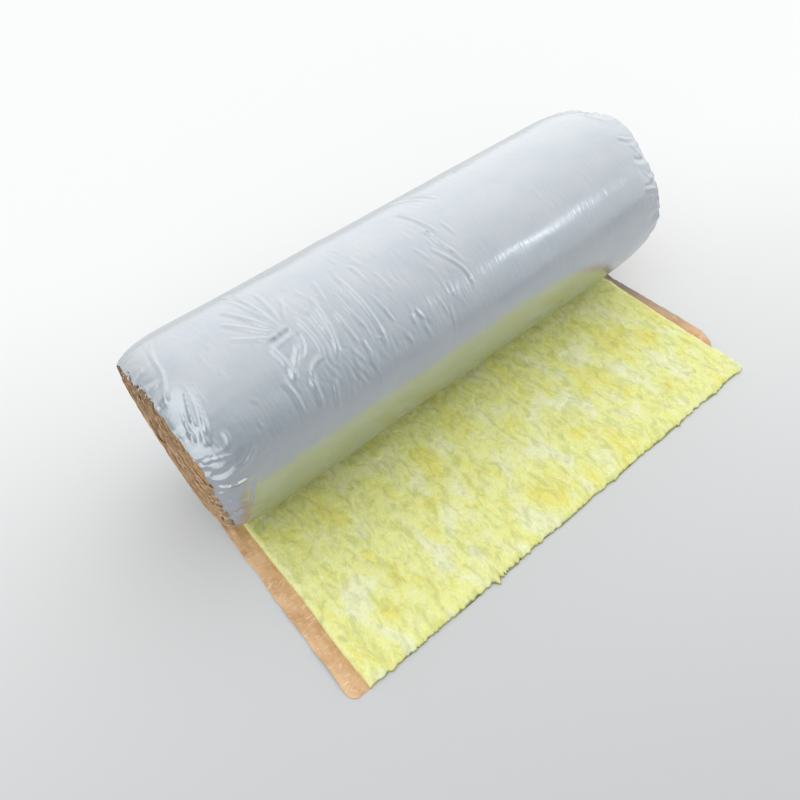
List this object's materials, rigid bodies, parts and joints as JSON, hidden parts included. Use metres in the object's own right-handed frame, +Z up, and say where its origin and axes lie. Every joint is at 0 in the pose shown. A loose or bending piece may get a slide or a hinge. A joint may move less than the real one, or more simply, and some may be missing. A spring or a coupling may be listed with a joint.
{
  "type": "insulation roll",
  "caption": "Roll of glass wool blanket with a bright film-on-kraft facing, lying on its side with its free end rolled out flat; insulates roofs, lofts and walls",
  "frame": {"origin": "Centre of the bounding box on the floor plane, under the roll and its rolled-out end.", "axes": "+X runs along the roll's axis, +Y points from the rolled-out free end to the wound body, +Z is up from the floor."},
  "size_m": [1.294, 0.8109, 0.457],
  "materials": {
    "glass_wool": "matt yellow fibre",
    "facing_film": "bright silver-white film outside, brown kraft inside"
  },
  "bodies": {
    "root": {"glass_wool": "glass_wool", "facing": "facing_film"}
  },
  "joints": []
}
